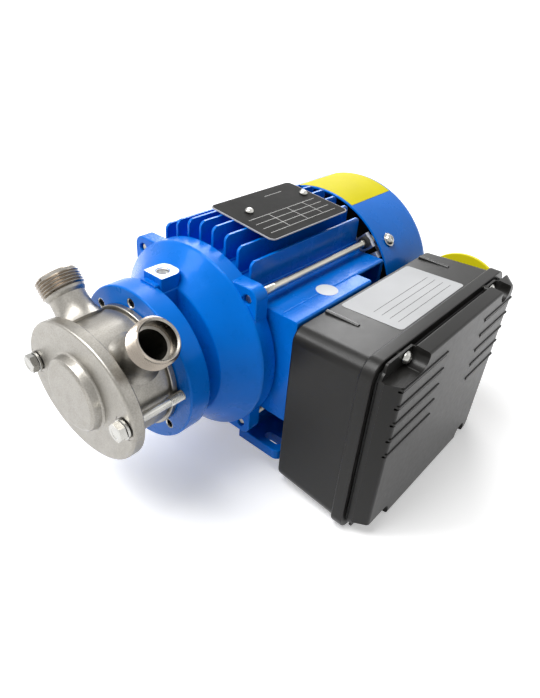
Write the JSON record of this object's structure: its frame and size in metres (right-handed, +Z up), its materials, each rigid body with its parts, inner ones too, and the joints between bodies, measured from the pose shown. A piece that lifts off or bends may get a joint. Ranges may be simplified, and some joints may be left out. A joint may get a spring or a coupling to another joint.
{
  "type": "flexible impeller pump",
  "caption": "Flexible impeller transfer pump with two angled threaded ports, close coupled to a finned motor with slotted feet, a fan cowl and a side switch box.",
  "frame": {"origin": "middle of the whole pump seen from above, at the height of the lowest edge of the switch box", "axes": "+X along the shaft from the pump cover to the fan cowl, +Z up, the switch box on -Y"},
  "size_m": [0.2836, 0.2174, 0.1639],
  "materials": {
    "stainless_casting": "satin, as cast and ground",
    "bright_steel": "bright turned steel",
    "zinc_plate": "zinc plated",
    "blue_paint": "gloss machine paint",
    "silver_casting": "bare die casting",
    "black_plastic": "fine moulded grain",
    "grey_plastic": "satin",
    "dial_yellow": "satin",
    "knob_red": "gloss",
    "black_plate": "satin black sheet",
    "black_rubber": "matte",
    "brass": "machined",
    "copper": "varnished copper wire",
    "lamination": "stacked sheet",
    "ceramic": "polished",
    "carbon": "lapped"
  },
  "bodies": {
    "housing": {"front_cover": "stainless_casting", "cover_bolt_1": "bright_steel", "cover_bolt_2": "bright_steel", "cover_washer_1": "bright_steel", "cover_washer_2": "bright_steel", "cover_o_ring": "black_rubber", "pump_body": "stainless_casting", "seal_seat": "ceramic", "end_bell": "blue_paint", "stator_core": "lamination", "front_winding": "copper", "rear_winding": "copper", "front_bearing_outer": "bright_steel", "rear_bearing_outer": "bright_steel", "motor_frame": "blue_paint", "rear_shield": "silver_casting", "wave_washer": "bright_steel", "tie_rod_1": "zinc_plate", "tie_rod_2": "zinc_plate", "tie_rod_3": "zinc_plate", "tie_rod_4": "zinc_plate", "fan_cowl": "blue_paint", "cowl_screw_1": "bright_steel", "cowl_screw_2": "bright_steel", "cowl_screw_3": "bright_steel", "cowl_screw_4": "bright_steel", "nameplate": "black_plate", "nameplate_screw_1": "bright_steel", "nameplate_screw_2": "bright_steel", "box_base": "black_plastic", "lid_gasket": "black_rubber", "box_lid": "black_plastic", "lid_screw_1": "bright_steel", "lid_screw_2": "bright_steel", "lid_screw_3": "bright_steel", "lid_screw_4": "bright_steel", "run_capacitor": "grey_plastic", "capacitor_clip": "grey_plastic", "terminal_block": "grey_plastic", "switch_body": "black_plastic", "switch_dial": "dial_yellow", "cable_gland": "black_plastic", "gland_cap": "black_plastic", "gland_locknut": "black_plastic"},
    "rotor": {"motor_shaft": "bright_steel", "rotor_core": "lamination", "impeller": "black_rubber", "impeller_insert": "brass", "impeller_key": "bright_steel", "seal_ring": "carbon", "seal_bellows": "black_rubber", "seal_spring": "bright_steel", "slinger": "black_rubber", "front_bearing_inner": "bright_steel", "rear_bearing_inner": "bright_steel", "cooling_fan": "black_plastic", "fan_clip": "bright_steel"},
    "front_cage": {"front_bearing_cage": "brass"},
    "rear_cage": {"rear_bearing_cage": "brass"},
    "knob": {"switch_knob": "knob_red"}
  },
  "joints": [
    {"name": "rotor_spin", "type": "hinge", "parent": "housing", "child": "rotor", "pos_m": [-0.0417, 0.03434, 0.0856], "axis": [1, 0, 0], "continuous": true, "deforming": ["impeller"]},
    {"name": "front_cage_spin", "type": "hinge", "parent": "housing", "child": "front_cage", "pos_m": [-0.0562, 0.03434, 0.0856], "axis": [1, 0, 0], "continuous": true},
    {"name": "rear_cage_spin", "type": "hinge", "parent": "housing", "child": "rear_cage", "pos_m": [0.0803, 0.03434, 0.0856], "axis": [1, 0, 0], "continuous": true},
    {"name": "switch_turn", "type": "hinge", "parent": "housing", "child": "knob", "pos_m": [0.1263, -0.06766, 0.0931], "axis": [1, 0, 0], "range_deg": [-60, 60]}
  ],
  "couplings": [
    {"joint": "front_cage_spin", "follows": "rotor_spin", "ratio": 0.384},
    {"joint": "rear_cage_spin", "follows": "rotor_spin", "ratio": 0.384}
  ]
}
